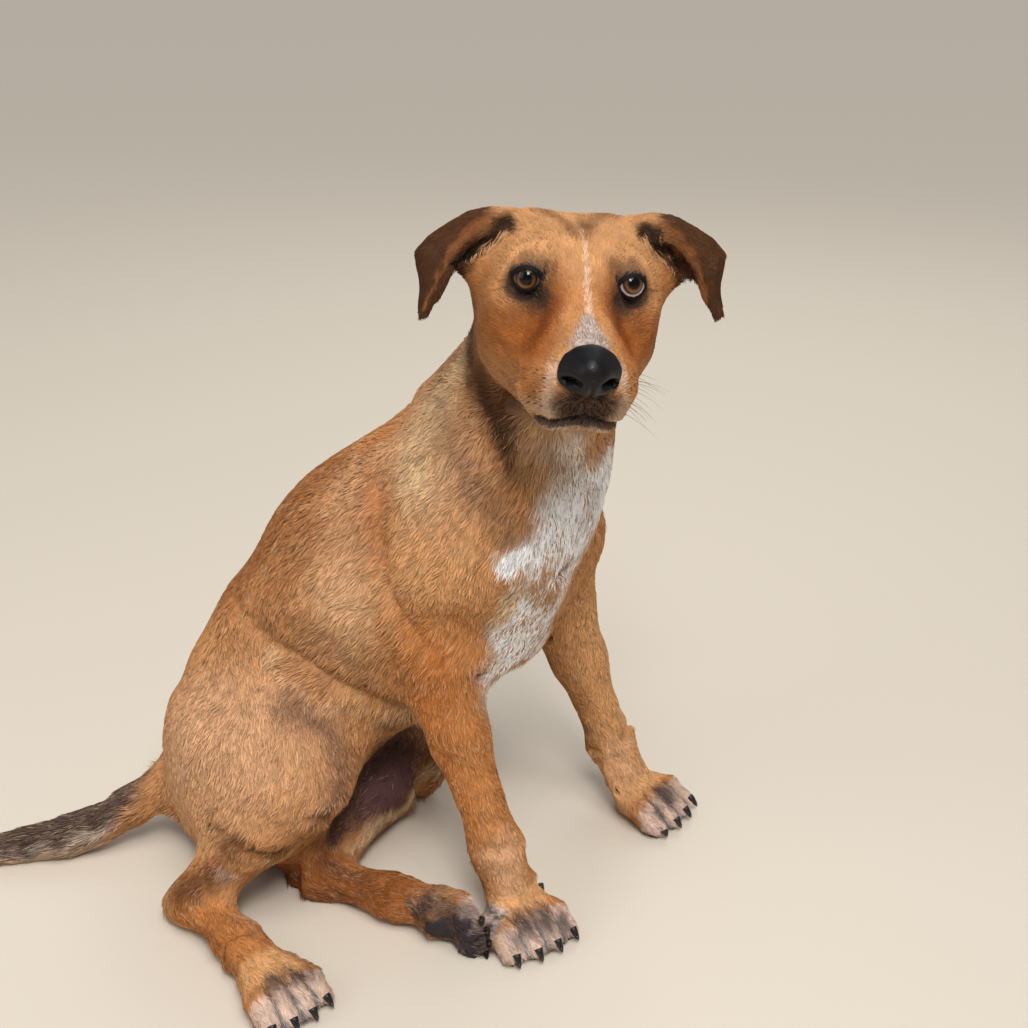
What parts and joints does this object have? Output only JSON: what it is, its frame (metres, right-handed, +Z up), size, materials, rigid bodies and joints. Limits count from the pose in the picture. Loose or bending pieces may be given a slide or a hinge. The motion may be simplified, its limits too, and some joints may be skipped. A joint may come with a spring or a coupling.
{
  "type": "dog",
  "caption": "Young short-coated crossbreed dog sitting on one haunch, head turned to the side, ears folded over and tail laid on the floor; a still life-size figure.",
  "frame": {"origin": "on the floor, at the centre of the bounding box seen from above", "axes": "+X to the fore end of the dog, away from the tail; -Y the side the dog looks to; +Z up from the floor"},
  "size_m": [0.7098, 0.3504, 0.5087],
  "materials": {
    "coat": "short tan fur over the body and face",
    "paw_coat": "pale short fur with grey flecks",
    "tail_coat": "grey and tan fur",
    "ear_coat": "fine dark brown fur",
    "nose": "moist, finely pebbled",
    "eye": "wet and clear",
    "claw": "smooth horn"
  },
  "bodies": {
    "root": {"head": "coat", "jaw": "coat", "nose": "nose", "neck": "coat", "trunk": "coat", "tail_root": "tail_coat", "tail_middle": "tail_coat", "tail_tip": "tail_coat", "upper_foreleg_right": "coat", "upper_foreleg_left": "coat", "forearm_right": "coat", "forearm_left": "coat", "fore_paw_right": "paw_coat", "fore_paw_left": "paw_coat", "thigh_right": "coat", "thigh_left": "coat", "shank_right": "coat", "shank_left": "coat", "pastern_right": "coat", "pastern_left": "coat", "hind_paw_right": "paw_coat", "hind_paw_left": "paw_coat", "eye_right": "eye", "eye_left": "eye", "ear_right": "ear_coat", "ear_left": "ear_coat", "claw_fore_right_1": "claw", "claw_fore_right_2": "claw", "claw_fore_right_3": "claw", "claw_fore_right_4": "claw", "claw_fore_right_5": "claw", "claw_fore_left_1": "claw", "claw_fore_left_2": "claw", "claw_fore_left_3": "claw", "claw_fore_left_4": "claw", "claw_fore_left_5": "claw", "claw_hind_right_1": "claw", "claw_hind_right_2": "claw", "claw_hind_right_3": "claw", "claw_hind_right_4": "claw", "claw_hind_left_1": "claw", "claw_hind_left_2": "claw", "claw_hind_left_3": "claw", "claw_hind_left_4": "claw"}
  },
  "joints": []
}
